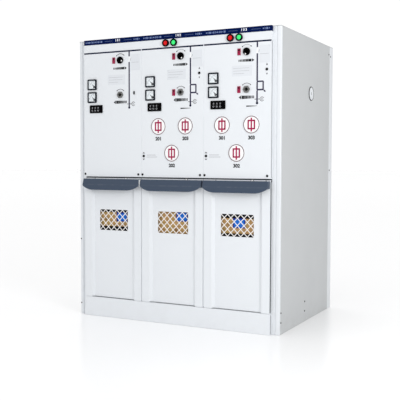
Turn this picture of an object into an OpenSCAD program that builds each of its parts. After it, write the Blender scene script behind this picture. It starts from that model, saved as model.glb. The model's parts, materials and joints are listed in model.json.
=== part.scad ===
// Three-bay gas-insulated switchgear cabinet.
// The front faces -Y, and the origin is on the floor under the middle of the overall box.

/* [Cabinet] */
// Width of one bay, from seam to seam
bay_pitch = 325; // [280:1:400]
// Height of the cabinet
cabinet_h = 1336; // [1280:1:1500]
// Depth from the face of the front panels to the back
cabinet_d = 751; // [600:1:900]
// Width of the end post and side panel beside the outer bays
end_w = 37.5; // [30:0.5:60]
// Thickness of the housing sheet
sheet_t = 3; // [2:0.5:4]
// Depth of the front panels, which stand this far in front of the posts
front_step = 16; // [15:0.5:30]
// Gap between neighbouring front panels
seam = 2; // [1:0.5:4]

/* [Levels] */
// Height of the plinth
plinth_h = 92; // [60:1:120]
// Height of the strip that holds the lamps
control_strip_h = 36; // [34:1:60]
// Height of the coloured strip at the top
header_h = 24; // [15:1:40]

/* [Frame] */
// Depth of the posts and rails
rail_d = 40; // [25:1:60]
// Width of a post between two bays
bay_post_w = 40; // [30:1:60]
// How far an end post reaches behind the front panels
post_lap = 8; // [6:1:20]
// How far an end post reaches around the corner of the cabinet
post_wrap = 13; // [8:1:25]
// Radius of that corner
post_r = 3.5; // [2:0.5:4]
// Width of the groove down the end posts
groove_w = 6; // [2:0.5:6]
// Depth of the groove down the end posts
groove_d = 3; // [3:1:12]
// Distance of the groove from the side panel
groove_inset = 15; // [5:1:16]
// Height of the rail behind the lower edge of the control panels
waist_rail_h = 40; // [25:1:60]
// How far the rail at the top reaches down behind the control panels
head_rail_lap = 24; // [10:1:40]
// Width of the corner angles at the back
rear_angle_w = 52; // [30:1:80]

/* [Base] */
// Width of the foot rails
foot_w = 70; // [50:1:100]
// Thickness of the foot rails
foot_t = 5; // [4:0.5:8]
// Diameter of the anchor holes
anchor_d = 14; // [10:1:20]
// Distance of the anchor holes from the ends of the foot rails
anchor_end = 58; // [30:1:150]
// Distance of the anchor holes from the inner face of the side panel
anchor_inset = 35; // [20:1:40]

/* [Cable covers] */
// Gap between neighbouring cable covers
cover_gap = 5; // [5:0.5:10]
// Gap between the cable covers and the control panels
cover_top_gap = 6; // [5:0.5:12]
// Thickness of the cover sheet
cover_t = 2; // [1.5:0.5:2.5]
// Width of the flat border at each side
border_w = 38; // [30:1:45]
// Width of the sloped fold between border and centre
bevel_w = 14; // [8:1:20]
// How far the centre lies behind the border
recess_d = 10; // [5:0.5:10]
// Gap between the folded edges and the posts behind them
return_gap = 5; // [3:0.5:8]
// Radius of the rolled hem that the cover stands on
hem_r = 3; // [2:0.5:4]
// Clearance under the hem
hem_clear = 0.3; // [0.2:0.05:0.5]
// Height of the flat band behind the grip
band_h = 29; // [20:1:40]
// Open slot under the centre of the cover
slot_h = 3; // [2:1:12]

/* [Windows] */
// Width of the window
window_w = 160; // [100:1:180]
// Height of the window
window_h = 100; // [60:1:140]
// Distance of the window's centre below the top of the cover
window_drop = 202.5; // [150:0.5:260]
// Width of one diamond of the mesh
diamond_w = 32; // [20:1:50]
// Height of one diamond of the mesh
diamond_h = 33; // [20:1:50]
// Width of the mesh strands
strand_w = 3.6; // [2:0.1:6]
// Thickness of the mesh
mesh_t = 1.5; // [1:0.1:1.5]
// How far the mesh reaches behind the sheet around the window
mesh_lap = 6; // [4:1:12]
// Thickness of the board behind each window
board_t = 4; // [3:0.5:8]
// Distance of the board behind the posts' front faces
board_back = 8; // [4:1:20]
// Height of the board behind the middle window
tall_board_h = 126; // [100:1:160]
// Height of the boards behind the outer windows
board_h = 68; // [60:1:120]
// How much higher the left board hangs than the middle one, and the right one lower
board_shift = 3; // [0:1:10]

/* [Grips] */
// How far the grips stand out at their lower edge
grip_out = 30; // [18:0.5:40]
// How far the grips stand out along their upper edge
grip_top_out = 16; // [10:0.5:18]
// How far the grips stand out where they bend
grip_bend_out = 25; // [18:0.5:28]
// Distance of that bend below a grip's upper edge
grip_bend_h = 28; // [20:1:36]
// Distance of a grip's ends from the sides of its cover
grip_inset = 1.5; // [0.5:0.5:20]
// Height of a grip at its middle
grip_h = 53; // [40:1:70]
// Height of a grip at its ends
grip_end_h = 31; // [20:1:35]
// Wall of a grip
grip_t = 4; // [3:0.5:6]
// Radius of the lower corners of a grip
grip_corner_r = 100; // [60:1:120]
// Distance of a grip below the top of its cover
grip_drop = 4; // [2:1:12]

/* [Switch sockets] */
// Distance of the sockets right of the bay's middle
socket_x = 46; // [30:1:60]
// Distance of the load switch socket below the top of the panel
load_drop = 45; // [35:1:60]
// Distance of the earth switch socket below the top of the panel
earth_drop = 208; // [190:1:230]
// Diameter of a socket's flange
flange_d = 33; // [32:1:44]
// Thickness of a socket's flange
flange_t = 6; // [6:0.5:14]
// Diameter of a socket's barrel
barrel_d = 24; // [22:1:28]
// Length of a socket's barrel behind the panel's face
barrel_l = 40; // [30:1:60]
// Diameter of the hole for the lever
lever_d = 16; // [12:0.5:18]
// Depth of the hole for the lever
lever_depth = 30; // [20:1:36]
// Width of the slot across a socket
key_w = 4; // [3:0.5:6]
// Depth of the slot across a socket
key_depth = 4; // [2:0.5:5]
// Running clearance around the barrel and behind the flange
socket_clear = 0.3; // [0.2:0.05:0.5]

/* [Instruments] */
// Distance of the meters from the left edge of the panel
meter_inset = 22; // [10:0.5:40]
// Distance of the upper meter below the top of the panel
meter_drop = 154; // [140:1:160]
// Gap between the two meters
meter_gap = 10; // [3:0.5:15]
// Width and height of a meter
meter_s = 51; // [40:1:56]
// How far a meter stands out
meter_out = 5.5; // [5:0.5:14]
// Corner radius of a meter
meter_r = 4; // [2:0.5:8]
// Distance of the voltage indicator from the left edge of the panel
indicator_inset = 34; // [15:0.5:50]
// Gap between the lower meter and the voltage indicator
indicator_gap = 12; // [5:0.5:30]
// Width of the voltage indicator
indicator_w = 73; // [50:1:90]
// Height of the voltage indicator
indicator_h = 38; // [20:1:42]
// How far the voltage indicator stands out
indicator_out = 4; // [3:0.5:12]
// Corner radius of the voltage indicator
indicator_r = 3; // [1:0.5:6]
// Distance of the tags left of their socket
tag_gap = 36; // [30:1:45]
// Width of a tag
tag_w = 15; // [10:1:20]
// Height of a tag
tag_h = 29; // [20:1:40]
// How far a tag stands out
tag_out = 3; // [2:0.5:6]
// Distance of the key locks from the right edge of the panel
lock_inset = 15; // [8:0.5:40]
// Distance of the key locks below the top of the panel
lock_drop = 126; // [110:1:150]
// Diameter of a key lock
lock_d = 12; // [8:1:20]
// How far a key lock stands out
lock_out = 3; // [3:0.5:10]

/* [Lamps] */
// Distance of the lamps' middle left of the bay's middle
lamp_x = 10; // [0:1:40]
// Distance between the red and the green lamp
lamp_pitch = 42; // [36:1:60]
// Diameter of a lamp's bezel
bezel_d = 33; // [26:1:34]
// How far the bezel stands out
bezel_out = 9; // [4:0.5:10]
// Diameter of a lamp's lens
lens_d = 21; // [14:0.5:22]
// How far the lens stands out
lens_out = 11; // [11:0.5:16]
// Radius of the lens's domed front
dome_r = 15.5; // [12:0.5:30]
// Clearance around a lens
lens_clear = 0.3; // [0.2:0.1:0.5]

/* [Fuse caps] */
// Diameter of a fuse cap
fuse_d = 80; // [50:1:90]
// Distance of the outer fuse caps from the bay's middle
fuse_x = 70.5; // [60:0.5:90]
// Gap between the voltage indicator and the outer fuse caps
fuse_gap = 30.5; // [10:0.5:50]
// Distance of the middle fuse cap below the outer ones
fuse_step = 123; // [100:1:130]
// How far a fuse cap stands out
fuse_out = 2.5; // [1:0.5:6]
// Distance of the middle fuse cap from the lower edge of the panel
fuse_margin = 72; // [40:1:110]

/* [Side plugs] */
// Diameter of the plug in each side
plug_d = 60; // [40:1:90]
// Distance of the plugs behind the front face
plug_back = 412; // [300:1:500]
// Distance of the plugs below the top
plug_drop = 260; // [150:1:400]
// How far the plugs stand out
plug_out = 2; // [1:0.5:6]

/* [Hidden] */
$fn = 64;
bays = [1, 2, 3];
fuse_bays = [2, 3];
over = 1;

panel_edge = 1.5 * bay_pitch;
half_w = panel_edge + end_w;
inner_x = half_w - sheet_t;
post_x = panel_edge - post_lap;
face_y = (grip_out - cabinet_d) / 2;
back_y = face_y + cabinet_d;
seat_y = face_y + front_step;
rail_back = seat_y + rail_d;
inner_back = back_y - sheet_t;
roof_z = cabinet_h - sheet_t;
strip_top = cabinet_h - header_h;
panel_top = strip_top - control_strip_h;
panel_half = (bay_pitch - seam) / 2;

meter_x = meter_inset + meter_s / 2 - panel_half;
meter_pitch = meter_s + meter_gap;
indicator_x = indicator_inset + indicator_w / 2 - panel_half;
indicator_drop = meter_drop + meter_pitch + (meter_s + indicator_h) / 2 + indicator_gap;
lock_x = panel_half - lock_inset - lock_d / 2;
fuse_drop = indicator_drop + (indicator_h + fuse_d) / 2 + fuse_gap;
waist_z = panel_top - fuse_drop - fuse_step - fuse_d / 2 - fuse_margin;
waist_rail_z = waist_z - cover_top_gap / 2;
waist_rail_top = waist_rail_z + waist_rail_h;

cover_half = (bay_pitch - cover_gap) / 2;
cover_top = waist_z - cover_top_gap;
hinge_y = face_y + hem_r;
hinge_z = plinth_h + hem_clear + hem_r;
band_z = cover_top - band_h;
fold_out = cover_half - border_w;
fold_in = fold_out - bevel_w;
fold_shift = cover_t * (norm([bevel_w, recess_d]) - bevel_w) / recess_d;
window_z = cover_top - window_drop;
return_d = front_step - return_gap;
grip_w = 2 * (cover_half - grip_inset);

foot_y = (rail_back + inner_back) / 2;
anchor_x = inner_x - anchor_inset;
anchor_pitch = inner_back - rail_back - 2 * anchor_end;

function bay_x(bay) = (bay - 2) * bay_pitch;

// A block between two opposite corners
module block(low, high) { translate(low) cube(high - low); }

// Places a piece on the panel of a bay, x right of its middle and drop below its top
module on_panel(bay, x, drop) { translate([bay_x(bay) + x, face_y, panel_top - drop]) children(); }

// Raises a flat shape, drawn as seen from the front, towards the front
module raise(out) { rotate([90, 0, 0]) linear_extrude(out) children(); }

// A bar of one section, drawn in Y and Z, that is centred across the cabinet
module cross_bar(length) { translate([-length / 2, 0, 0]) rotate([90, 0, 90]) linear_extrude(length) children(); }

module rounded_rect(w, h, r) {
  square([w - 2 * r, h], center = true);
  square([w, h - 2 * r], center = true);
  for (x = [-1, 1], y = [-1, 1]) translate([x * (w / 2 - r), y * (h / 2 - r)]) circle(r);
}

// A folded front panel that is open at the back
module pan(x0, x1, z0, z1) {
  difference() {
    block([x0, face_y, z0], [x1, seat_y, z1]);
    block([x0 + sheet_t, face_y + sheet_t, z0 + sheet_t], [x1 - sheet_t, seat_y + over, z1 - sheet_t]);
  }
}

module side_panel(side) {
  color("gainsboro") mirror([side < 0 ? 1 : 0, 0, 0])
    block([inner_x, seat_y + post_wrap + seam / 2, 0], [half_w, back_y - rear_angle_w - seam, roof_z]);
}

// Section of the right end post, seen from above, with its rounded corner
module post_section() {
  translate([post_x, seat_y + post_r]) square([inner_x - post_x, rail_d - post_r]);
  translate([post_x, seat_y]) square([half_w - post_r - post_x, post_r]);
  translate([inner_x, seat_y + post_r]) square([sheet_t, post_wrap - post_r]);
  translate([half_w - post_r, seat_y + post_r]) circle(post_r);
}

module front_post(side) {
  groove_x = inner_x - groove_inset;
  color("whitesmoke") mirror([side < 0 ? 1 : 0, 0, 0]) difference() {
    linear_extrude(roof_z) post_section();
    block([groove_x - groove_w, seat_y - over, -over], [groove_x, seat_y + groove_d, roof_z + over]);
  }
}

module rear_angle(side) {
  color("whitesmoke") mirror([side < 0 ? 1 : 0, 0, 0]) {
    block([inner_x, back_y - rear_angle_w, 0], [half_w, back_y, roof_z]);
    block([half_w - rear_angle_w, inner_back, 0], [half_w, back_y, roof_z]);
  }
}

module back_panel() {
  edge = half_w - rear_angle_w - seam;
  color("gainsboro") block([-edge, inner_back, 0], [edge, back_y, roof_z]);
}

module roof_panel() {
  color("gainsboro") block([-half_w, seat_y, roof_z], [half_w, back_y, cabinet_h]);
}

module compartment_ceiling() {
  color("silver") block([-inner_x, rail_back, waist_rail_top - sheet_t], [inner_x, inner_back, waist_rail_top]);
}

// A channel across the cabinet that is open at the back
module channel(z0, z1) {
  color("silver") cross_bar(2 * post_x) difference() {
    translate([seat_y, z0]) square([rail_d, z1 - z0]);
    translate([seat_y + sheet_t, z0 + sheet_t]) square([rail_d, z1 - z0 - 2 * sheet_t]);
  }
}

module head_rail() { channel(panel_top - head_rail_lap, roof_z); }

module waist_rail() { channel(waist_rail_z, waist_rail_top); }

module bay_post(number) {
  x = bay_x(number) + bay_pitch / 2;
  color("whitesmoke") block([x - bay_post_w / 2, seat_y, 0], [x + bay_post_w / 2, rail_back, waist_rail_z]);
}

module front_plinth() { color("whitesmoke") pan(-panel_edge, panel_edge, 0, plinth_h); }

module foot_rail(side) {
  color("silver") mirror([side < 0 ? 1 : 0, 0, 0]) difference() {
    block([inner_x - foot_w, rail_back, 0], [inner_x, inner_back, foot_t]);
    for (end = [-1, 1])
      translate([anchor_x, foot_y + end * anchor_pitch / 2, -over]) cylinder(d = anchor_d, h = foot_t + 2 * over);
  }
}

module control_panel(bay) {
  color("whitesmoke") difference() {
    pan(bay_x(bay) - panel_half, bay_x(bay) + panel_half, waist_z, panel_top - seam / 2);
    for (drop = [load_drop, earth_drop]) on_panel(bay, socket_x, drop)
      translate([0, sheet_t + over, 0]) raise(sheet_t + 2 * over) circle(d = barrel_d + 2 * socket_clear);
  }
}

module control_strip() {
  color("white") pan(-panel_edge + seam / 2, panel_edge - seam / 2, panel_top, strip_top - seam / 2);
}

module header_strip() {
  color("midnightblue") pan(-panel_edge + seam / 2, panel_edge - seam / 2, strip_top, cabinet_h);
}

module panel_meters() {
  color("darkslateblue") for (bay = bays, row = [0, 1])
    on_panel(bay, meter_x, meter_drop + row * meter_pitch) raise(meter_out) rounded_rect(meter_s, meter_s, meter_r);
}

module voltage_indicators() {
  color("black") for (bay = bays)
    on_panel(bay, indicator_x, indicator_drop) raise(indicator_out)
      rounded_rect(indicator_w, indicator_h, indicator_r);
}

module interlock_tags() {
  color("crimson") {
    for (bay = bays) on_panel(bay, socket_x - tag_gap, load_drop) raise(tag_out) square([tag_w, tag_h], center = true);
    for (bay = fuse_bays)
      on_panel(bay, socket_x - tag_gap, earth_drop) raise(tag_out) square([tag_w, tag_h], center = true);
  }
}

module key_locks() {
  color("black") for (bay = fuse_bays) on_panel(bay, lock_x, lock_drop) raise(lock_out) circle(d = lock_d);
}

module fuse_caps() {
  color("white") for (bay = fuse_bays) {
    for (side = [-1, 1]) on_panel(bay, side * fuse_x, fuse_drop) raise(fuse_out) circle(d = fuse_d);
    on_panel(bay, 0, fuse_drop + fuse_step) raise(fuse_out) circle(d = fuse_d);
  }
}

// Places a lamp on the control strip: side -1 is the left one of the pair
module on_strip(bay, side) {
  translate([bay_x(bay) - lamp_x + side * lamp_pitch / 2, face_y, (panel_top + strip_top) / 2]) children();
}

module lamp_bezels() {
  color("black") for (bay = fuse_bays, side = [-1, 1]) on_strip(bay, side) raise(bezel_out) difference() {
    circle(d = bezel_d);
    circle(d = lens_d + 2 * lens_clear);
  }
}

// A lens with a domed front
module lens() {
  rotate([90, 0, 0]) rotate_extrude() intersection() {
    square([lens_d / 2, lens_out]);
    translate([0, lens_out - dome_r]) circle(dome_r);
  }
}

module red_lamps() { color("red") for (bay = fuse_bays) on_strip(bay, -1) lens(); }

module green_lamps() { color("limegreen") for (bay = fuse_bays) on_strip(bay, 1) lens(); }

module side_plugs() {
  color("white") for (side = [0, 1]) mirror([side, 0, 0])
    translate([half_w, face_y + plug_back, cabinet_h - plug_drop]) rotate([0, 90, 0]) cylinder(d = plug_d, h = plug_out);
}

module barrier_boards() {
  y = seat_y + board_back;
  color("tan") for (bay = bays) {
    left = bay == 1 ? -post_x : bay_x(bay) - (bay_pitch - bay_post_w) / 2;
    right = bay == 3 ? post_x : bay_x(bay) + (bay_pitch - bay_post_w) / 2;
    height = bay == 2 ? tall_board_h : board_h;
    middle = window_z + (2 - bay) * board_shift;
    block([left, y, middle - height / 2], [right, y + board_t, middle + height / 2]);
  }
}

// Section of the folded cover sheet, seen from above, with its border on y = 0
module cover_section() {
  half = [
    [fold_in, recess_d], [fold_out, 0], [cover_half, 0], [cover_half, return_d],
    [cover_half - cover_t, return_d], [cover_half - cover_t, cover_t],
    [fold_out + fold_shift, cover_t], [fold_in + fold_shift, recess_d + cover_t]
  ];
  other = [for (i = [len(half) - 1:-1:0]) [-half[i][0], half[i][1]]];
  polygon(concat(half, other));
}

module cable_cover(bay) {
  window = [window_w, 2 * recess_d, window_h];
  color("whitesmoke") translate([bay_x(bay), face_y, 0]) {
    difference() {
      translate([0, 0, hinge_z]) linear_extrude(cover_top - hinge_z) cover_section();
      block([-fold_out, -over, hinge_z - over], [fold_out, recess_d + cover_t + over, plinth_h + slot_h]);
      translate([0, recess_d, window_z]) cube(window, center = true);
    }
    block([-cover_half, 0, band_z], [cover_half, cover_t, cover_top]);
    block([-cover_half, 0, cover_top - cover_t], [cover_half, return_d, cover_top]);
    block([-fold_out, 0, band_z], [fold_out, recess_d + cover_t, band_z + cover_t]);
    for (side = [-1, 1]) translate([side * (cover_half - border_w / 2), hem_r, hinge_z])
      rotate([0, 90, 0]) cylinder(r = hem_r, h = border_w, center = true);
  }
}

// Outline of a grip seen from the front, with its top edge on y = 0
module grip_outline() {
  corner_z = grip_corner_r - grip_h;
  rise = grip_h - grip_end_h;
  corner_x = grip_w / 2 - sqrt(2 * grip_corner_r * rise - rise * rise);
  intersection() {
    translate([-grip_w / 2, -grip_h]) square([grip_w, grip_h]);
    union() {
      translate([-grip_w / 2, -grip_end_h]) square([grip_w, grip_end_h]);
      translate([-corner_x, -grip_h]) square([2 * corner_x, grip_h]);
      for (side = [-1, 1]) translate([side * corner_x, corner_z]) circle(grip_corner_r);
    }
  }
}

// Section of a grip, open below; its hollow has the same outline, a wall further back and down
module grip_section(wall) {
  low = -grip_h - over;
  polygon([
    [wall, -wall], [wall - grip_top_out, -wall], [wall - grip_bend_out, -grip_bend_h], [wall - grip_out, -grip_h],
    [wall - grip_out, low], [wall, low]
  ]);
}

module cover_grip(bay) {
  color("slategray") translate([bay_x(bay), face_y, cover_top - grip_drop]) difference() {
    intersection() {
      cross_bar(grip_w) grip_section(0);
      translate([0, over, 0]) raise(grip_out + 2 * over) grip_outline();
    }
    cross_bar(grip_w - 2 * grip_t) grip_section(grip_t);
  }
}

// A diamond hole between the mesh strands
module diamond() {
  stretch = norm([diamond_w, diamond_h]);
  w = diamond_w / 2 - strand_w * stretch / diamond_h / 2;
  h = diamond_h / 2 - strand_w * stretch / diamond_w / 2;
  polygon([[w, 0], [0, h], [-w, 0], [0, -h]]);
}

module window_mesh(bay) {
  columns = ceil(window_w / diamond_w / 2);
  rows = ceil(window_h / diamond_h / 2);
  color("white") translate([bay_x(bay), face_y + recess_d + cover_t + mesh_t, window_z]) raise(mesh_t) difference() {
    square([window_w + 2 * mesh_lap, window_h + 2 * mesh_lap], center = true);
    intersection() {
      square([window_w, window_h], center = true);
      for (i = [-2 * columns:2 * columns], j = [-2 * rows:2 * rows])
        if ((i + j) % 2 != 0) translate([i * diamond_w / 2, j * diamond_h / 2]) diamond();
    }
  }
}

// A turning socket: flange, barrel, lever hole and the slot across it
module switch_socket(bay, drop, sides) {
  color("dimgray") on_panel(bay, socket_x, drop) difference() {
    union() {
      translate([0, -socket_clear, 0]) raise(flange_t) circle(d = flange_d, $fn = sides);
      translate([0, barrel_l, 0]) raise(barrel_l + socket_clear + over) circle(d = barrel_d);
    }
    translate([0, lever_depth - flange_t, 0]) raise(lever_depth + over) circle(d = lever_d);
    translate([-barrel_d / 2, -socket_clear - flange_t - over, -key_w / 2]) cube([barrel_d, key_depth + over, key_w]);
  }
}

module load_switch_socket(bay) { switch_socket(bay, load_drop, $fn); }

module earth_switch_socket(bay) { switch_socket(bay, earth_drop, 6); }

side_panel(-1);  // left_side_panel
side_panel(1);  // right_side_panel
front_post(-1);  // left_front_post
front_post(1);  // right_front_post
rear_angle(-1);  // left_rear_angle
rear_angle(1);  // right_rear_angle
back_panel();
roof_panel();
compartment_ceiling();
head_rail();
waist_rail();
bay_post(1);  // bay_post_1
bay_post(2);  // bay_post_2
front_plinth();
foot_rail(-1);  // left_foot_rail
foot_rail(1);  // right_foot_rail
control_panel(1);  // control_panel_1
control_panel(2);  // control_panel_2
control_panel(3);  // control_panel_3
control_strip();
header_strip();
panel_meters();
voltage_indicators();
interlock_tags();
key_locks();
fuse_caps();
lamp_bezels();
red_lamps();
green_lamps();
side_plugs();
barrier_boards();
cable_cover(1);  // cable_cover_1
cable_cover(2);  // cable_cover_2
cable_cover(3);  // cable_cover_3
cover_grip(1);  // cover_grip_1
cover_grip(2);  // cover_grip_2
cover_grip(3);  // cover_grip_3
window_mesh(1);  // window_mesh_1
window_mesh(2);  // window_mesh_2
window_mesh(3);  // window_mesh_3
load_switch_socket(1);  // load_switch_socket_1
load_switch_socket(2);  // load_switch_socket_2
load_switch_socket(3);  // load_switch_socket_3
earth_switch_socket(1);  // earth_switch_socket_1
earth_switch_socket(2);  // earth_switch_socket_2
earth_switch_socket(3);  // earth_switch_socket_3
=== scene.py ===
"""Looks of a three-bay gas-insulated switchgear cabinet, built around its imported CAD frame."""

import itertools
import json
import math
from collections import namedtuple

import bmesh
import bpy
from bpy.props import FloatProperty, FloatVectorProperty, PointerProperty
from mathutils import Euler, Matrix, Vector

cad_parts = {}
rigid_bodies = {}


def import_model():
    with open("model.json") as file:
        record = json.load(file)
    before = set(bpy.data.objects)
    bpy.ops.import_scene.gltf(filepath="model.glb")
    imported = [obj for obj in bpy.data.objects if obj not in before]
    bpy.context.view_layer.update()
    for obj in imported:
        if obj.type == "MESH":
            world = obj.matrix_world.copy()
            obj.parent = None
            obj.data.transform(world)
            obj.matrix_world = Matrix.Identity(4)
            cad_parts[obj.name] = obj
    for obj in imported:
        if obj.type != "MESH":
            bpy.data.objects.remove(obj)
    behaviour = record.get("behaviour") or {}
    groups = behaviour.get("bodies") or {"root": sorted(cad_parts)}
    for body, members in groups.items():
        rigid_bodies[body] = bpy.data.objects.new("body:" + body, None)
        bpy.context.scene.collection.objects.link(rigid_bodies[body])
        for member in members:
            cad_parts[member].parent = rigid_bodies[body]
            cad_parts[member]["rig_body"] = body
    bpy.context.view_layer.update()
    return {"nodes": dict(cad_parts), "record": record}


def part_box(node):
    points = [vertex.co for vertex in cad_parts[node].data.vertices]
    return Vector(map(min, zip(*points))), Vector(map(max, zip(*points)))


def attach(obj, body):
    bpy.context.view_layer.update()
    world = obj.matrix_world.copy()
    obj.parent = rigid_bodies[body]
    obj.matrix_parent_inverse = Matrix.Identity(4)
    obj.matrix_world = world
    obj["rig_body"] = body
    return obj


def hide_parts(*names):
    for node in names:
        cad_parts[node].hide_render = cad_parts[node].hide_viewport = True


bl_info = {
    "name": "Switchgear Cabinet",
    "version": (1, 0, 0),
    "blender": (4, 5, 0),
    "location": "3D View > Sidebar > Cabinet",
    "description": "Dresses a three-bay gas-insulated switchgear cabinet and its studio stage",
    "category": "Object",
}

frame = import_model()

# Driving values
MM = 0.001
BAYS = (1, 2, 3)
FUSE_BAYS = (2, 3)
FRONT = Vector((0, -1, 0))
MERGE_DISTANCE = 0.00001
SHARP_ANGLE = math.radians(28)
SMOOTH_ANGLE = math.radians(50)
FLAT_ANGLE = math.radians(0.5)
SLOTS = {part["node"]: part["material_slot"] for part in frame["record"]["subparts"]}

# Rounding of the edges in millimetres, and the material slots where it differs
EDGE_RADIUS = 0.9
EDGE_RADII = {"side_grey": 0.7, "frame_steel": 0.8, "tag_crimson": 0.6, "fuse_white": 0.8, "lamp_red": 0.5,
              "lamp_green": 0.5, "board_tan": 0.4, "grip_slate": 1.2, "mesh_white": 0.45}

# Places read from the frame
PANEL_BOXES = {bay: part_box(f"control_panel_{bay}") for bay in BAYS}
COVER_BOXES = {bay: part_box(f"cable_cover_{bay}") for bay in BAYS}
FACE_Y = PANEL_BOXES[1][0].y
PANEL_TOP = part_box("control_strip")[0].z
POST_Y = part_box("left_front_post")[0].y
SIDE_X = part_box("right_side_panel")[1].x
BACK_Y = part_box("back_panel")[1].y
ROOF_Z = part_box("roof_panel")[1].z


def mm(*values):
    """Lengths given in millimetres, as metres."""
    return tuple(value * MM for value in values)


def centre_of(box):
    return (box[0] + box[1]) / 2


def bay_x(bay):
    return centre_of(PANEL_BOXES[bay]).x


# A place on the front is a pair of x and z in metres


def middle_of(box):
    """The place of a box's middle."""
    middle = centre_of(box)
    return middle.x, middle.z


def on_panel(bay, across, drop):
    """The place some millimetres right of a bay's middle and below the top of its control panel."""
    return bay_x(bay) + across * MM, PANEL_TOP - drop * MM


def beside(place, across, up=0.0):
    """A place some millimetres to the right of another and above it."""
    return place[0] + across * MM, place[1] + up * MM


def around(place, radius, angle):
    """The place at a radius in millimetres from another, at an angle in degrees from the right."""
    turn = math.radians(angle)
    return beside(place, radius * math.cos(turn), radius * math.sin(turn))


def merged_mesh(node):
    """A copy of a node's mesh, with its doubled points merged."""
    bm = bmesh.new()
    bm.from_mesh(frame["nodes"][node].data)
    bmesh.ops.remove_doubles(bm, verts=bm.verts, dist=MERGE_DISTANCE)
    return bm


def solid_boxes(node):
    """Boxes of the separate solids of a node, from left to right and from the top down."""
    bm = merged_mesh(node)
    left = set(bm.verts)
    boxes = []
    while left:
        island, rim = set(), {left.pop()}
        while rim:
            island |= rim
            rim = {v for vert in rim for edge in vert.link_edges for v in edge.verts} - island
        left -= island
        low, high = (Vector([pick(v.co[i] for v in island) for i in range(3)]) for pick in (min, max))
        boxes.append((low, high))
    bm.free()
    return sorted(boxes, key=lambda box: (round(box[0].x, 4), -round(box[0].z, 4)))


# Properties


def colour(name, description, default):
    return FloatVectorProperty(name=name, description=description, default=default, subtype="COLOR", size=3,
                               min=0, max=1)


def length(name, description, default_mm):
    return FloatProperty(name=name, description=description, default=default_mm * MM, unit="LENGTH", min=0,
                         precision=4)


class CabinetColours(bpy.types.PropertyGroup):
    """Colours of the paints, plastics and prints, and of the painted shade"""

    panel_white: colour("Panel white", "Powder coat of the panels, posts and covers", (0.772, 0.800, 0.832))
    # Side grey is the panels' white paint made darker: painted shade on the sides, also used on the back and
    # roof
    side_grey: colour("Side grey", "Powder coat of the sides, back and roof", (0.550, 0.567, 0.577))
    frame_steel: colour("Frame steel", "Zinc coat of the inner frame", (0.42, 0.43, 0.44))
    header_navy: colour("Header navy", "Paint of the strip at the top", (0.0005, 0.0075, 0.064))
    meter_frame: colour("Meter frame", "Plastic of the meters' frames", (0.003, 0.006, 0.014))
    dial_white: colour("Dial white", "Paper of the meters' dials", (0.82, 0.87, 0.90))
    black_plastic: colour("Black plastic", "Plastic of sockets, locks and bezels", (0.0012, 0.0012, 0.0016))
    socket_grey: colour("Socket grey", "Cast metal of the earth switch sockets", (0.17, 0.17, 0.165))
    tag_crimson: colour("Tag crimson", "Plastic of the interlock tags", (0.32, 0.008, 0.055))
    # Fuse cap white also colours the painted highlights on the load switch sockets
    fuse_white: colour("Fuse cap white", "Plastic of fuse caps, clips and pointers", (0.92, 0.92, 0.925))
    lamp_red: colour("Lamp red", "Lens of the red lamps", (0.62, 0.006, 0.008))
    lamp_green: colour("Lamp green", "Lens of the green lamps", (0.03, 0.75, 0.17))
    board_tan: colour("Board tan", "Laminate of the boards behind the windows", (0.60, 0.36, 0.15))
    card_blue: colour("Card blue", "Cards on the boards", (0.012, 0.19, 0.74))
    card_navy: colour("Card navy", "Borders of the cards", (0.008, 0.025, 0.33))
    grip_slate: colour("Grip slate", "Plastic of the cover grips", (0.046, 0.067, 0.106))
    mesh_white: colour("Mesh white", "Paint of the window meshes", (0.88, 0.86, 0.84))
    ink_navy: colour("Navy ink", "Bus line across the circuit diagram", (0.007, 0.010, 0.038))
    ink_slate: colour("Slate ink", "Branches of the circuit diagram", (0.040, 0.036, 0.075))
    ink_black: colour("Black ink", "Arrows, figures and needles", (0.012, 0.012, 0.014))
    ink_grey: colour("Grey ink", "Fine marks on the panels", (0.15, 0.15, 0.16))
    # Faint ink also colours the strips of painted shade on the right edges of the last panel and the plinth
    ink_faint: colour("Faint ink", "Faint lines, scales and edge strips", (0.36, 0.37, 0.39))
    ink_crimson: colour("Crimson ink", "Signs on the fuse caps", (0.38, 0.007, 0.070))
    ink_rose: colour("Rose ink", "Rings around the fuse caps", (0.14, 0.085, 0.105))
    ink_white: colour("White ink", "Figures on the header", (0.85, 0.88, 0.94))
    ink_steel: colour("Steel ink", "Index bars and lines on the header", (0.16, 0.22, 0.40))
    label_grey: colour("Label grey", "Plates on the panels", (0.72, 0.747, 0.785))
    screw_dark: colour("Screw steel", "Blackened steel of the screws", (0.014, 0.014, 0.016))
    # Dark colour of painted shade: strips in the gaps and sheets behind the windows
    seal_rubber: colour("Seal rubber", "Strips in the gaps, and the windows' shades", (0.030, 0.034, 0.045))


class CabinetSizes(bpy.types.PropertyGroup):
    """Sizes of the prints and small fittings"""

    print_t: length("Print thickness", "Thickness of the printed signs", 0.3)
    plate_t: length("Plate thickness", "Thickness of the label plates", 0.6)
    line_w: length("Diagram line", "Width of the lines of the circuit diagram", 6.8)
    screw_d: length("Screw head", "Diameter of a panel screw's head", 11.0)
    screw_out: length("Screw height", "How far a panel screw stands out", 2.6)
    dial_rim: length("Dial rim", "Width of the frame around a meter's dial", 6.0)
    dial_depth: length("Dial depth", "Depth of a meter's dial behind its rim", 3.0)
    card_w: length("Card width", "Width of the cards behind the windows", 60.0)
    card_h: length("Card height", "Height of the cards behind the windows", 44.0)


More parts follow.
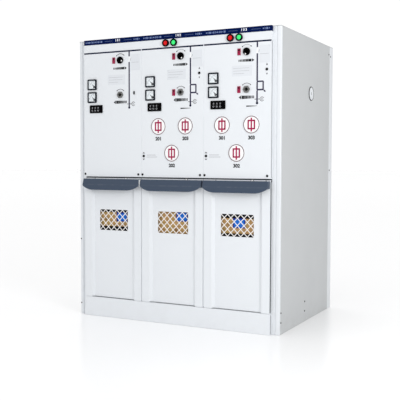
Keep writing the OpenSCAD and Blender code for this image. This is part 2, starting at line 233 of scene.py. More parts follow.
class CabinetStage(bpy.types.PropertyGroup):
    """Camera and lights of the studio"""

    camera_place: FloatVectorProperty(name="Camera", description="Place of the camera", size=3, unit="LENGTH",
                                      subtype="TRANSLATION", default=(1.6810, -3.3779, 0.7572))
    camera_pitch: FloatProperty(name="Pitch", description="How far the camera looks down", subtype="ANGLE",
                                default=math.radians(2.983))
    camera_turn: FloatProperty(name="Turn", description="How far the camera turns left", subtype="ANGLE",
                               default=math.radians(26.97))
    camera_roll: FloatProperty(name="Roll", description="How far the camera leans", subtype="ANGLE",
                               default=math.radians(0.151))
    lens: FloatProperty(name="Lens", description="Focal length of the camera", unit="CAMERA", default=67.62)
    sky: FloatProperty(name="Sky", description="Strength of the white surroundings", default=1.03, min=0)
    side_sky: FloatProperty(name="Side sky", description="Share of that strength on the right", default=0.30,
                            min=0, max=1)
    key: FloatProperty(name="Key", description="Power of the soft light at the front right", unit="POWER",
                       default=46.0, min=0)


# Shader node groups and materials


def add_node(tree, kind, inputs=None, **settings):
    """A new node whose inputs are values or other nodes' outputs."""
    made = tree.nodes.new(kind)
    for key, value in settings.items():
        setattr(made, key, value)
    for key, value in (inputs or {}).items():
        if isinstance(value, bpy.types.NodeSocket):
            tree.links.new(value, made.inputs[key])
        else:
            made.inputs[key].default_value = value
    return made


def mixed(tree, factor, first, second):
    """The output of a colour mix."""
    mix_factor, mix_first, mix_second, mix_result = 0, 6, 7, 2
    made = add_node(tree, "ShaderNodeMix", {mix_factor: factor, mix_first: first, mix_second: second},
                    data_type="RGBA")
    return made.outputs[mix_result]


def computed(tree, operation, first, second):
    return add_node(tree, "ShaderNodeMath", {0: first, 1: second}, operation=operation).outputs["Value"]


def ranged(tree, value, low, high, to_low, to_high):
    made = add_node(tree, "ShaderNodeMapRange", {"Value": value, "From Min": low, "From Max": high,
                                                 "To Min": to_low, "To Max": to_high})
    return made.outputs["Result"]


def noise(tree, vector, scale, detail):
    made = add_node(tree, "ShaderNodeTexNoise", {"Vector": vector, "Scale": scale, "Detail": detail})
    return made.outputs["Fac"]


def toned(tree, shade, value):
    """A colour whose brightness is scaled by a value."""
    return add_node(tree, "ShaderNodeHueSaturation", {"Color": shade, "Value": value}).outputs["Color"]


def new_group(name, inputs):
    """An empty shader group for a surface, its inputs and outputs, and the place on the object."""
    tree = bpy.data.node_groups.new(name, "ShaderNodeTree")
    for label, default in inputs.items():
        kind = "NodeSocketFloat" if isinstance(default, float) else "NodeSocketColor"
        tree.interface.new_socket(label, in_out="INPUT", socket_type=kind).default_value = default
    for label, kind in (("Color", "Color"), ("Roughness", "Float"), ("Height", "Float")):
        tree.interface.new_socket(label, in_out="OUTPUT", socket_type=f"NodeSocket{kind}")
    given = tree.nodes.new("NodeGroupInput").outputs
    result = tree.nodes.new("NodeGroupOutput").inputs
    return tree, given, result, tree.nodes.new("ShaderNodeTexCoord").outputs["Object"]


def coat_group():
    """A sprayed or moulded surface: broad tone, fine grain, worn edges, and dust near the floor."""
    bare_metal, dust_brown, dust_top = (0.48, 0.49, 0.51, 1.0), (0.42, 0.40, 0.37, 1.0), 0.11
    inputs = {"Color": (0.8, 0.8, 0.8, 1.0), "Roughness": 0.4, "Tone": 0.02, "Grain": 600.0, "Wear": 0.1,
              "Dust": 0.1}
    tree, given, result, place = new_group("Coat", inputs)

    broad = computed(tree, "SUBTRACT", noise(tree, place, 2.2, 3.0), 0.5)
    spread = computed(tree, "MULTIPLY", broad, given["Tone"])
    value = computed(tree, "ADD", computed(tree, "MULTIPLY", spread, 4.0), 1.0)
    plain = toned(tree, given["Color"], value)

    edge = add_node(tree, "ShaderNodeAttribute", attribute_name="edge").outputs["Fac"]
    patches = ranged(tree, noise(tree, place, 45.0, 4.0), 0.45, 0.62, 0.2, 1.0)
    rubbed = computed(tree, "MULTIPLY", computed(tree, "MULTIPLY", edge, patches), given["Wear"])
    worn = mixed(tree, rubbed, plain, bare_metal)

    height = add_node(tree, "ShaderNodeSeparateXYZ", {"Vector": place}).outputs["Z"]
    low = ranged(tree, height, 0.0, dust_top, 1.0, 0.0)
    specks = ranged(tree, noise(tree, place, 24.0, 5.0), 0.35, 0.7, 0.0, 1.0)
    dusty = computed(tree, "MULTIPLY", computed(tree, "MULTIPLY", low, specks), given["Dust"])
    tree.links.new(mixed(tree, dusty, worn, dust_brown), result["Color"])

    smears = ranged(tree, noise(tree, place, 9.0, 4.0), 0.3, 0.7, -0.05, 0.05)
    rough = computed(tree, "ADD", computed(tree, "ADD", given["Roughness"], smears),
                     computed(tree, "MULTIPLY", dusty, 0.4))
    tree.links.new(rough, result["Roughness"])
    tree.links.new(noise(tree, place, given["Grain"], 2.0), result["Height"])
    return tree


def zinc_group():
    """Galvanised sheet: crystals of slightly different greys."""
    tree, given, result, place = new_group("Zinc", {"Color": (0.45, 0.45, 0.46, 1.0), "Crystals": 90.0})
    cells = add_node(tree, "ShaderNodeTexVoronoi", {"Vector": place, "Scale": given["Crystals"]})
    shade = add_node(tree, "ShaderNodeSeparateColor", {"Color": cells.outputs["Color"]}).outputs["Red"]
    value = ranged(tree, shade, 0.0, 1.0, 0.75, 1.2)
    tree.links.new(toned(tree, given["Color"], value), result["Color"])
    tree.links.new(ranged(tree, shade, 0.0, 1.0, 0.32, 0.52), result["Roughness"])
    tree.links.new(noise(tree, place, 160.0, 3.0), result["Height"])
    return tree


def board_group():
    """Pressed laminate: long fibres, patches of olive resin and dark patches."""
    dark_fibre = (0.30, 0.15, 0.055, 1.0)
    olive_resin = (0.46, 0.36, 0.10, 1.0)
    dark_patch_colour = (0.16, 0.075, 0.03, 1.0)
    tree, given, result, place = new_group("Laminate", {"Color": (0.6, 0.4, 0.2, 1.0)})
    long_way = add_node(tree, "ShaderNodeMapping", {"Vector": place, "Scale": (14.0, 14.0, 150.0)})
    fibres = noise(tree, long_way.outputs["Vector"], 1.0, 6.0)
    dark = mixed(tree, ranged(tree, fibres, 0.35, 0.7, 0.0, 0.6), given["Color"], dark_fibre)
    patches = ranged(tree, noise(tree, place, 21.0, 3.0), 0.4, 0.7, 0.0, 0.6)
    olive = mixed(tree, patches, dark, olive_resin)
    dark_patches = ranged(tree, noise(tree, place, 33.0, 2.0), 0.56, 0.72, 0.0, 0.75)
    tree.links.new(mixed(tree, dark_patches, olive, dark_patch_colour), result["Color"])
    tree.links.new(ranged(tree, fibres, 0.3, 0.7, 0.45, 0.7), result["Roughness"])
    tree.links.new(fibres, result["Height"])
    return tree


GROUP_MAKERS = {"Coat": coat_group, "Zinc": zinc_group, "Laminate": board_group}


def shared_group(name):
    return bpy.data.node_groups.get(name) or GROUP_MAKERS[name]()


Finish = namedtuple("Finish", "group values bump gloss")


def coat(roughness, tone, grain, wear=0.1, dust=0.0, bump=0.1, **gloss):
    """A finish on the coat group; gloss gives the shader's own sockets."""
    values = {"Roughness": roughness, "Tone": tone, "Grain": grain, "Wear": wear, "Dust": dust}
    return Finish("Coat", values, bump, gloss)


def ink(roughness, tone, **gloss):
    """The finish of a print, with a very fine grain."""
    return coat(roughness, tone, grain=2400.0, bump=0.04, **gloss)


DULL = {"Specular IOR Level": 0.02}
SATIN = {"Specular IOR Level": 0.25}
FINISHES = {
    "panel_white": coat(0.34, tone=0.006, grain=700.0, wear=0.25, dust=0.07, bump=0.10),
    "side_grey": coat(0.38, tone=0.010, grain=700.0, wear=0.25, dust=0.14, bump=0.12),
    "frame_steel": Finish("Zinc", {"Crystals": 90.0}, 0.15, {"Metallic": 0.75}),
    "header_navy": coat(0.30, tone=0.02, grain=800.0, wear=0.06, bump=0.06, **DULL),
    "meter_frame": coat(0.28, tone=0.05, grain=1500.0, wear=0.08, bump=0.08, **DULL),
    "dial_white": coat(0.55, tone=0.004, grain=2600.0, bump=0.03),
    "black_plastic": coat(0.33, tone=0.08, grain=1800.0, wear=0.03, bump=0.12, **DULL),
    "socket_grey": coat(0.42, tone=0.06, grain=1100.0, wear=0.35, bump=0.22, Metallic=0.5),
    "tag_crimson": coat(0.30, tone=0.05, grain=1600.0, wear=0.10, bump=0.08, **SATIN),
    "fuse_white": coat(0.36, tone=0.006, grain=1500.0, wear=0.08, bump=0.06),
    "lamp_red": coat(0.16, tone=0.03, grain=420.0, wear=0.0, bump=0.10, **DULL),
    "lamp_green": coat(0.16, tone=0.03, grain=420.0, wear=0.0, bump=0.10, **SATIN),
    "board_tan": Finish("Laminate", {}, 0.35, {}),
    "card_blue": coat(0.35, tone=0.05, grain=1500.0, bump=0.03, **SATIN),
    "card_navy": coat(0.35, tone=0.05, grain=1500.0, bump=0.03, **SATIN),
    "grip_slate": coat(0.42, tone=0.035, grain=1300.0, wear=0.05, bump=0.20, **SATIN),
    "mesh_white": coat(0.42, tone=0.02, grain=900.0, wear=0.2, bump=0.15),
    "ink_navy": ink(0.45, tone=0.05, **DULL),
    "ink_slate": ink(0.45, tone=0.05, **DULL),
    "ink_black": ink(0.45, tone=0.08, **DULL),
    "ink_grey": ink(0.50, tone=0.05, **DULL),
    "ink_faint": ink(0.50, tone=0.04),
    "ink_crimson": ink(0.42, tone=0.04, **SATIN),
    "ink_rose": ink(0.42, tone=0.06, **SATIN),
    "ink_white": ink(0.45, tone=0.03),
    "ink_steel": ink(0.45, tone=0.06, **DULL),
    "label_grey": coat(0.30, tone=0.02, grain=1400.0, bump=0.04),
    "screw_dark": coat(0.34, tone=0.10, grain=900.0, wear=0.5, bump=0.20, Metallic=0.6),
    "seal_rubber": coat(0.60, tone=0.08, grain=1200.0, wear=0.0, bump=0.25, **DULL),
}
BUMP_DISTANCE = 0.0004
GLOW = {"lamp_red": 0.14, "lamp_green": 0.27}
LENS_COAT = 0.25
CLEAR_PLASTIC = {"Base Color": (0.9, 0.94, 0.96, 1.0), "Roughness": 0.08, "Alpha": 0.05,
                 "Specular IOR Level": 0.2}
PALE_FLOOR = {"Base Color": (0.96, 0.96, 0.965, 1.0), "Roughness": 0.22, "Specular IOR Level": 0.45,
              "Emission Color": (1.0, 1.0, 1.0, 1.0), "Emission Strength": 0.06}


def plain_material(name, values):
    """A material whose shader has these values on its own sockets."""
    material = bpy.data.materials.new(name)
    material.use_nodes = True
    shader = material.node_tree.nodes["Principled BSDF"]
    for label, value in values.items():
        shader.inputs[label].default_value = value
    return material


def finish(name):
    """The material of that finish, made when it is first asked for."""
    known = bpy.data.materials.get(f"{name}_finish")
    if known:
        return known
    made = FINISHES[name]
    shade = (*getattr(bpy.context.scene.cabinet_colours, name), 1.0)
    material = plain_material(f"{name}_finish", made.gloss)
    material.diffuse_color = shade
    tree = material.node_tree
    look = add_node(tree, "ShaderNodeGroup", {"Color": shade, **made.values},
                    node_tree=shared_group(made.group))
    bump = add_node(tree, "ShaderNodeBump", {"Height": look.outputs["Height"], "Strength": made.bump,
                                             "Distance": BUMP_DISTANCE})
    sockets = tree.nodes["Principled BSDF"].inputs
    tree.links.new(look.outputs["Color"], sockets["Base Color"])
    tree.links.new(look.outputs["Roughness"], sockets["Roughness"])
    tree.links.new(bump.outputs["Normal"], sockets["Normal"])
    if name in GLOW:
        tree.links.new(look.outputs["Color"], sockets["Emission Color"])
        sockets["Emission Strength"].default_value = GLOW[name]
        sockets["Coat Weight"].default_value = LENS_COAT
    return material


# Making pieces


def add_object(name, data):
    """A new object in the scene."""
    made = bpy.data.objects.new(name, data)
    bpy.context.scene.collection.objects.link(made)
    return made


def make_mesh(bm, name, material):
    """Turns a bmesh into a mesh with one material."""
    mesh = bpy.data.meshes.new(name)
    bm.to_mesh(mesh)
    bm.free()
    mesh.materials.append(material)
    return mesh


def make_piece(bm, name, material, body="cabinet", nodes=()):
    """Turns a bmesh into a piece that rides on a body and may stand for nodes of the frame."""
    mesh = make_mesh(bm, name, material)
    mesh.shade_smooth()
    mesh.set_sharp_from_angle(angle=SMOOTH_ANGLE)
    piece = add_object(name, mesh)
    normals = piece.modifiers.new("Weighted normals", "WEIGHTED_NORMAL")
    normals.keep_sharp = True
    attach(piece, body)
    if nodes:
        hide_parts(*nodes)


def round_edges(bm, edges, radius, segments=2):
    """Rounds edges and marks the new faces, where the finish wears."""
    worn = bm.loops.layers.float.get("edge") or bm.loops.layers.float.new("edge")
    made = bmesh.ops.bevel(bm, geom=edges, offset=radius, offset_type="OFFSET", affect="EDGES",
                           segments=segments, profile=0.5, material=-1, clamp_overlap=True)
    for face in made["faces"]:
        for loop in face.loops:
            loop[worn] = 1.0


def sharp_edges(bm):
    return [e for e in bm.edges if len(e.link_faces) == 2 and e.calc_face_angle() > SHARP_ANGLE]


def dress(node, is_soft=None, soft_radius=0.0):
    """Stands a copy of a node, with rounded edges and its slot's finish, in the node's place.

    Edges for which is_soft holds are rounded first, with their own radius.
    """
    slot = SLOTS[node]
    bm = merged_mesh(node)
    bmesh.ops.dissolve_limit(bm, angle_limit=FLAT_ANGLE, verts=bm.verts, edges=bm.edges)
    if is_soft:
        round_edges(bm, [e for e in bm.edges if is_soft(e)], soft_radius, segments=5)
    round_edges(bm, sharp_edges(bm), EDGE_RADII.get(slot, EDGE_RADIUS) * MM)
    make_piece(bm, f"{node}_skin", finish(slot), frame["nodes"][node]["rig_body"], [node])


def add_block(bm, low, high):
    low, high = Vector(low), Vector(high)
    matrix = Matrix.Translation((low + high) / 2) @ Matrix.Diagonal((*(high - low), 1.0))
    return bmesh.ops.create_cube(bm, size=1.0, matrix=matrix)["verts"]


def add_rounded_plate(bm, low, high, radius, segments=5):
    """A plate between two corners whose edges along Y are rounded."""
    verts = add_block(bm, low, high)
    edges = {e for v in verts for e in v.link_edges}
    deep = [e for e in edges if abs(e.verts[0].co.y - e.verts[1].co.y) > MERGE_DISTANCE]
    bmesh.ops.bevel(bm, geom=deep, offset=radius, offset_type="OFFSET", affect="EDGES",
                    segments=segments, profile=0.5, material=-1)


def add_painted_shade_strip(bm, box):
    """A thin strip of painted shade on the right edge of a folded panel, behind its rounded corner."""
    near, far, thickness, end = mm(3, 10, 0.8, 4)
    low, high = box
    add_block(bm, (high.x, FACE_Y + near, low.z + end), (high.x + thickness, FACE_Y + far, high.z - end))


def add_lathe(bm, centre, axis, profile, segments=28):
    """A turned shape: profile gives radius and distance out along the axis, in millimetres."""
    axis = Vector(axis)
    side = axis.orthogonal().normalized()
    verts = [bm.verts.new(Vector(centre) + (axis * out + side * radius) * MM) for radius, out in profile]
    edges = [bm.edges.new(pair) for pair in zip(verts, verts[1:])]
    bmesh.ops.spin(bm, geom=verts + edges, cent=centre, axis=axis, angle=math.tau, steps=segments,
                   use_merge=True)


def close_lathes(bm):
    """Merges the poles of turned shapes and turns their faces outwards."""
    bmesh.ops.remove_doubles(bm, verts=bm.verts, dist=MERGE_DISTANCE)
    bmesh.ops.recalc_face_normals(bm, faces=bm.faces)


class Print:
    """Flat shapes on one plane that faces the front, sized in millimetres, raised together."""

    def __init__(self, y=FACE_Y):
        self.bm = bmesh.new()
        self.y = y

    def matrix(self, place, angle=0.0):
        turn = Matrix.Rotation(math.radians(-angle), 4, "Y")
        return Matrix.Translation((place[0], self.y, place[1])) @ turn @ Matrix.Rotation(math.pi / 2, 4, "X")

    def rect(self, place, w, h, angle=0.0):
        matrix = self.matrix(place, angle) @ Matrix.Diagonal((w * MM, h * MM, 1.0, 1.0))
        return bmesh.ops.create_grid(self.bm, x_segments=1, y_segments=1, size=0.5, matrix=matrix)["verts"]

    def disc(self, place, radius):
        bmesh.ops.create_circle(self.bm, cap_ends=True, radius=radius * MM, segments=24,
                                matrix=self.matrix(place))

    def arc(self, place, radius, width, start, end, steps=28):
        """A curved line from one angle to another, in degrees from the right, anticlockwise."""
        matrix = self.matrix(place, start)
        reaches = mm(radius - width / 2, radius + width / 2)
        verts = [self.bm.verts.new(matrix @ Vector((reach, 0, 0))) for reach in reaches]
        edge = self.bm.edges.new(verts)
        bmesh.ops.spin(self.bm, geom=[*verts, edge], cent=matrix.translation, axis=FRONT,
                       angle=math.radians(end - start), steps=steps, use_merge=end - start >= 360)

    def shape(self, place, points, angle=0.0):
        """A straight-sided shape whose points are given from its own place."""
        matrix = self.matrix(place, angle)
        self.bm.faces.new([self.bm.verts.new(matrix @ Vector((*mm(*point), 0))) for point in points])

    def outline(self, place, w, h, radius, line):
        """A rectangular line with round corners."""
        verts = self.rect(place, w, h)
        rounded = bmesh.ops.bevel(self.bm, geom=verts, offset=radius * MM, offset_type="OFFSET",
                                  affect="VERTICES", segments=4, profile=0.5, material=-1)
        face = rounded["verts"][0].link_faces[0]
        bmesh.ops.inset_individual(self.bm, faces=[face], thickness=line * MM, use_even_offset=True)
        bmesh.ops.delete(self.bm, geom=[face], context="FACES_ONLY")

    def figures(self, place, text, height, bold=0.015, spacing=1.0):
        """Plain figures, centred on their place; bold is a share of their height."""
        cap_height = 0.7
        curve = bpy.data.curves.new("figures", "FONT")
        curve.body = text
        curve.size = height * MM / cap_height
        curve.align_x = "CENTER"
        curve.align_y = "CENTER"
        curve.offset = height * MM * bold
        curve.space_character = spacing
        curve.resolution_u = 3
        holder = bpy.data.objects.new("figures", curve)
        flat = bpy.data.meshes.new_from_object(holder)
        flat.transform(self.matrix(place))
        self.bm.from_mesh(flat)
        bpy.data.objects.remove(holder)
        bpy.data.curves.remove(curve)
        bpy.data.meshes.remove(flat)

    def piece(self, name, finish_name, thickness=None, body="cabinet", slot=None):
        """Raises the shapes towards the front, by a thickness in metres, and makes them a piece."""
        thickness = thickness or bpy.context.scene.cabinet_sizes.print_t
        bm = self.bm
        raised = bmesh.ops.extrude_face_region(bm, geom=bm.faces[:], use_keep_orig=True)["geom"]
        verts = [v for v in raised if isinstance(v, bmesh.types.BMVert)]
        bmesh.ops.translate(bm, verts=verts, vec=FRONT * thickness)
        bmesh.ops.recalc_face_normals(bm, faces=bm.faces)
        make_piece(bm, name, finish(finish_name), body)


# Operators


class CABINET_OT_housing(bpy.types.Operator):
    """Dress the posts, sides, back, roof, plinth and the frame inside, and add the strips of painted shade
    and the beads
    """

    bl_idname = "cabinet.housing"
    bl_label = "Housing"

    def execute(self, context):
        nodes = ["back_panel", "roof_panel", "compartment_ceiling", "head_rail", "waist_rail", "bay_post_1",
                 "bay_post_2", "front_plinth", "side_plugs"]
        for side in ("left", "right"):
            nodes += [f"{side}_{part}" for part in ("side_panel", "front_post", "rear_angle", "foot_rail")]
        for node in nodes:
            dress(node)
        self.add_seal()
        self.add_beads()
        self.add_end_seals()
        return {"FINISHED"}

    def add_seal(self):
        """A dark strip of painted shade on the waist rail that shows through the gap above the covers."""
        thickness, reach, lap, end, corner_r = mm(1.5, 8, 14, 7, 2)
        low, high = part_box("waist_rail")
        gap_z = COVER_BOXES[1][1].z
        bm = bmesh.new()
        add_rounded_plate(bm, (low.x - end, low.y - thickness, gap_z - reach),
                          (high.x + end, low.y, gap_z + lap), corner_r)
        make_piece(bm, "waist_painted_shade", finish("seal_rubber"))

    def add_beads(self):
        """Pale beads in the gaps between the covers, the first with a fin between the grips."""
        sunk, half_w, end, corner_r = mm(2.5, 1.5, 6, 0.8)
        fin_out, fin_low, fin_high = mm(22, 36, 2)
        grip_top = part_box("cover_grip_1")[1].z
        bead = (FACE_Y + sunk, COVER_BOXES[1][0].z + end, COVER_BOXES[1][1].z - end)
        fin = (FACE_Y - fin_out, grip_top - fin_low, grip_top - fin_high)
        bm = bmesh.new()
        for number, strips in ((1, [bead, fin]), (2, [bead])):
            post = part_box(f"bay_post_{number}")
            x, back_y = centre_of(post).x, post[0].y
            for front_y, low_z, high_z in strips:
                add_rounded_plate(bm, (x - half_w, front_y, low_z), (x + half_w, back_y, high_z), corner_r,
                                  segments=2)
        make_piece(bm, "post_beads", finish("panel_white"))

    def add_end_seals(self):
        """Grey strips of painted shade on the folded right edges of the last control panel and the plinth."""
        bm = bmesh.new()
        for box in (PANEL_BOXES[BAYS[-1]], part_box("front_plinth")):
            add_painted_shade_strip(bm, box)
        make_piece(bm, "end_shade_strips", finish("ink_faint"))


class CABINET_OT_front_panels(bpy.types.Operator):
    """Dress the control panels and the strips above them, and fill their seams"""

    bl_idname = "cabinet.front_panels"
    bl_label = "Front Panels"

    def execute(self, context):
        for node in [*(f"control_panel_{bay}" for bay in BAYS), "control_strip", "header_strip"]:
            dress(node)
        self.add_gaskets()
        return {"FINISHED"}

    def add_gaskets(self):
        """Pale strips that fill the seams between the panels, just behind their faces."""
        sunk, back = mm(1, 8)
        strip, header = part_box("control_strip"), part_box("header_strip")
        low_z, high_z = PANEL_BOXES[1][0].z, PANEL_BOXES[1][1].z
        seams = [((PANEL_BOXES[bay][1].x, low_z), (PANEL_BOXES[bay + 1][0].x, high_z)) for bay in BAYS[:-1]]
        seams += [((strip[0].x, high_z), (strip[1].x, strip[0].z)),
                  ((strip[0].x, strip[1].z), (strip[1].x, header[0].z))]
        bm = bmesh.new()
        for (left, low), (right, high) in seams:
            add_block(bm, (left, FACE_Y + sunk, low), (right, FACE_Y + back, high))
        make_piece(bm, "panel_gaskets", finish("panel_white"))


class CABINET_OT_cable_covers(bpy.types.Operator):
    """Dress the cable covers, grips and window meshes, and add the clips, notches and a strip of painted
    shade on the last cover's edge
    """

    bl_idname = "cabinet.cable_covers"
    bl_label = "Cable Covers"

    # Places of the notches by bay, in millimetres across from the cover's middle
    notches = {1: (-100, 70, 82), 2: (70, 82), 3: (-100, 70, 82, 140)}

    def execute(self, context):
        for bay in BAYS:
            dress(f"cable_cover_{bay}")
            dress(f"window_mesh_{bay}")
            self.dress_grip(bay)
            self.add_top_trim(bay, (bay_x(bay), COVER_BOXES[bay][1].z), f"cover_{bay}")
        self.add_edge_seal()
        return {"FINISHED"}

    def add_top_trim(self, bay, top, body):
        """A pale clip and dark notches along the top of a cover."""
        strip_low, strip_high, notch_w = -3.9, -0.5, 3
        clip_x, clip_w, clip_rise = 76, 9, 1.5
        clip_out, clip_r = mm(2.2, 1.2)
        left, low = beside(top, clip_x - clip_w / 2, strip_low)
        right, high = beside(top, clip_x + clip_w / 2, strip_high + clip_rise)
        bm = bmesh.new()
        add_rounded_plate(bm, (left, FACE_Y - clip_out, low), (right, FACE_Y, high), clip_r, segments=3)
        make_piece(bm, f"cover_clip_{bay}", finish("fuse_white"), body)
        notch = Print()
        for across in self.notches[bay]:
            notch.rect(beside(top, across, (strip_low + strip_high) / 2), notch_w, strip_high - strip_low)
        notch.piece(f"cover_notch_{bay}", "ink_black", body=body)

    def add_edge_seal(self):
        """A dark strip of painted shade on the folded edge of the last cover, beside the end post."""
        bm = bmesh.new()
        add_painted_shade_strip(bm, COVER_BOXES[BAYS[-1]])
        make_piece(bm, "cover_edge_shade_strip", finish("seal_rubber"), f"cover_{BAYS[-1]}")

    def dress_grip(self, bay):
        """Dresses a grip, with well rounded ends at its front."""
        end_r, behind_front = mm(8, 10)
        low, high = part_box(f"cover_grip_{bay}")

        def at_end(edge):
            return all(v.co.y < FACE_Y - behind_front and
                       min(v.co.x - low.x, high.x - v.co.x) < MERGE_DISTANCE for v in edge.verts)

        dress(f"cover_grip_{bay}", at_end, end_r)


class CABINET_OT_boards(bpy.types.Operator):
    """Dress the boards behind the windows, and add the cards on them and dark sheets of painted shade behind
    them
    """

    bl_idname = "cabinet.boards"
    bl_label = "Boards"

    # Places of the cards by bay, in millimetres right of the window's middle and above it
    card_places = {1: (38, 15), 2: (41, 28), 3: (3.5, 9.5)}

    def execute(self, context):
        sizes = context.scene.cabinet_sizes
        card_size, border, border_r = (sizes.card_w / MM, sizes.card_h / MM), 5, 3
        shade_behind, shade_reach, shade_t, shade_r = mm(22, 70, 1.5, 3)
        dress("barrier_boards")
        boards = solid_boxes("barrier_boards")
        board_y = boards[0][0].y
        cards, borders, painted_shade_sheets = Print(board_y), Print(board_y - sizes.plate_t), bmesh.new()
        for bay, (low, high) in zip(BAYS, boards):
            window = middle_of(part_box(f"window_mesh_{bay}"))
            card = beside(window, *self.card_places[bay])
            cards.rect(card, *card_size)
            borders.outline(card, *card_size, border_r, border)
            # A dark sheet of painted shade behind the board
            back_y = high.y + shade_behind
            add_rounded_plate(painted_shade_sheets, (low.x, back_y, window[1] - shade_reach),
                              (high.x, back_y + shade_t, window[1] + shade_reach), shade_r)
        cards.piece("board_cards", "card_blue", sizes.plate_t)
        borders.piece("board_card_borders", "card_navy")
        make_piece(painted_shade_sheets, "window_painted_shade_sheets", finish("seal_rubber"))
        return {"FINISHED"}


class CABINET_OT_sockets(bpy.types.Operator):
    """Dress the turning switch sockets and add the painted highlights that turn with the load switches"""

    bl_idname = "cabinet.sockets"
    bl_label = "Switch Sockets"

    # Degrees from the right of the painted highlights, by bay
    pointer_angles = {1: -20, 2: -50, 3: -110}

    def execute(self, context):
        for bay in BAYS:
            for kind in ("load", "earth"):
                dress(f"{kind}_switch_socket_{bay}")
            self.add_pointer(bay)
        return {"FINISHED"}

    def add_pointer(self, bay):
        """A pale wedge on the load switch socket: a painted highlight of its hole's inner wall, which turns
        with the shaft.
        """
        near, far, near_half, far_half = 8.6, 15, 3.4, 1.8
        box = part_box(f"load_switch_socket_{bay}")
        painted_highlight = Print(box[0].y)
        wedge = [(near, -near_half), (far, -far_half), (far, far_half), (near, near_half)]
        painted_highlight.shape(middle_of(box), wedge, self.pointer_angles[bay])
        painted_highlight.piece(f"socket_painted_highlight_{bay}", "fuse_white", body=f"load_shaft_{bay}", slot="fuse_white")


class CABINET_OT_meters(bpy.types.Operator):
    """Make the square panel meters with their dials, scales, needles and windows"""

    bl_idname = "cabinet.meters"
    bl_label = "Meters"

    def execute(self, context):
        sizes = context.scene.cabinet_sizes
        paper_t, scale_t, needle_t, needle_rise = mm(0.2, 0.15, 0.4, 0.6)
        glass_front, glass_back = mm(0.6, 1.2)
        pivot_across, pivot_up = -6.8, 8.5
        rim = Vector((sizes.dial_rim, 0, sizes.dial_rim))
        boxes = solid_boxes("panel_meters")
        dial_y = boxes[0][0].y + sizes.dial_depth
        frames, windows = bmesh.new(), bmesh.new()
        dials, scales, pivots = Print(dial_y), Print(dial_y - paper_t), Print(dial_y - needle_rise)
        for box in boxes:
            self.add_frame(frames, box, sizes)
            low, high = box[0] + rim, box[1] - rim
            size = (high.x - low.x) / MM
            dials.rect(middle_of(box), size, size)
            self.add_scale(scales, pivots, beside((high.x, low.z), pivot_across, pivot_up), size)
            add_block(windows, (low.x, low.y + glass_front, low.z), (high.x, low.y + glass_back, high.z))
        make_piece(frames, "meter_frames", finish("meter_frame"), nodes=["panel_meters"])
        dials.piece("meter_dials", "dial_white", paper_t)
        scales.piece("meter_scales", "ink_faint", scale_t)
        pivots.piece("meter_needles", "ink_black", needle_t)
        make_piece(windows, "meter_windows", plain_material("clear_window", CLEAR_PLASTIC))
        return {"FINISHED"}

    def add_frame(self, bm, box, sizes):
        """A rounded box whose front is sunk inside a rim."""
        corner_r, rim_r, behind_dial = mm(4, 1.2, 0.2)
        before = set(bm.faces)
        add_rounded_plate(bm, *box, corner_r)
        made = [f for f in bm.faces if f not in before]
        front = min(made, key=lambda face: face.calc_center_median().y)
        rim_edges = list(front.edges)
        bmesh.ops.inset_individual(bm, faces=[front], thickness=sizes.dial_rim, use_even_offset=True)
        sunk = bmesh.ops.extrude_discrete_faces(bm, faces=[front])["faces"][0]
        bmesh.ops.translate(bm, verts=sunk.verts, vec=-FRONT * (sizes.dial_depth + behind_dial))
        round_edges(bm, rim_edges, rim_r)

    def add_scale(self, scales, pivots, place, size):
        """A quarter scale around the needle's pivot, in the dial's lower right corner."""
        scale_r, line, first, last = 0.66 * size, 1.2, 95, 175
        ticks, long_tick, short_tick, tick_w = 10, 4.2, 2.6, 0.9
        figure_in, figure_h = 5.5, 3.4
        hub_r, needle_l, half_w, needle_angle = 5.6, 0.40 * size, 2.2, 133
        scales.arc(place, scale_r, line, first, last)
        for i in range(ticks + 1):
            angle = first + (last - first) * i / ticks
            tick = short_tick if i % 5 else long_tick
            scales.rect(around(place, scale_r + (tick + line) / 2, angle), tick, tick_w, angle)
        for angle, text in ((last - 4, "0"), ((first + last) / 2, "50"), (first + 6, "100")):
            scales.figures(around(place, scale_r - figure_in, angle), text, figure_h)
        pivots.disc(place, hub_r)
        near = 0.8 * hub_r
        needle = [(near, -half_w), (needle_l, -half_w / 2), (needle_l, half_w / 2), (near, half_w)]
        pivots.shape(place, needle, needle_angle)


class CABINET_OT_indicators(bpy.types.Operator):
    """Dress the voltage indicators and add their lights and test sockets"""

    bl_idname = "cabinet.indicators"
    bl_label = "Voltage Indicators"

    def execute(self, context):
        columns, first, pitch, light_up, socket_up = 3, -20.5, 16.5, 6, -7
        light_w, light_h, light_r, light_line = 5.6, 7, 1.8, 1.3
        ring = [(4.0, 0), (4.0, 1.4), (2.9, 1.4), (2.4, 0)]
        dress("voltage_indicators")
        boxes = solid_boxes("voltage_indicators")
        front_y = boxes[0][0].y
        lights, sockets = Print(front_y), bmesh.new()
        for box in boxes:
            for column in range(columns):
                place = beside(middle_of(box), first + column * pitch)
                lights.outline(beside(place, 0, light_up), light_w, light_h, light_r, light_line)
                x, z = beside(place, 0, socket_up)
                add_lathe(sockets, (x, front_y, z), FRONT, ring, segments=20)
        lights.piece("indicator_lights", "ink_faint")
        close_lathes(sockets)
        make_piece(sockets, "indicator_sockets", finish("ink_faint"))
        return {"FINISHED"}


class CABINET_OT_lamps(bpy.types.Operator):
    """Dress the red and green lamps and their bezels"""

    bl_idname = "cabinet.lamps"
    bl_label = "Lamps"

    def execute(self, context):
        for node in ("lamp_bezels", "red_lamps", "green_lamps"):
            dress(node)
        return {"FINISHED"}


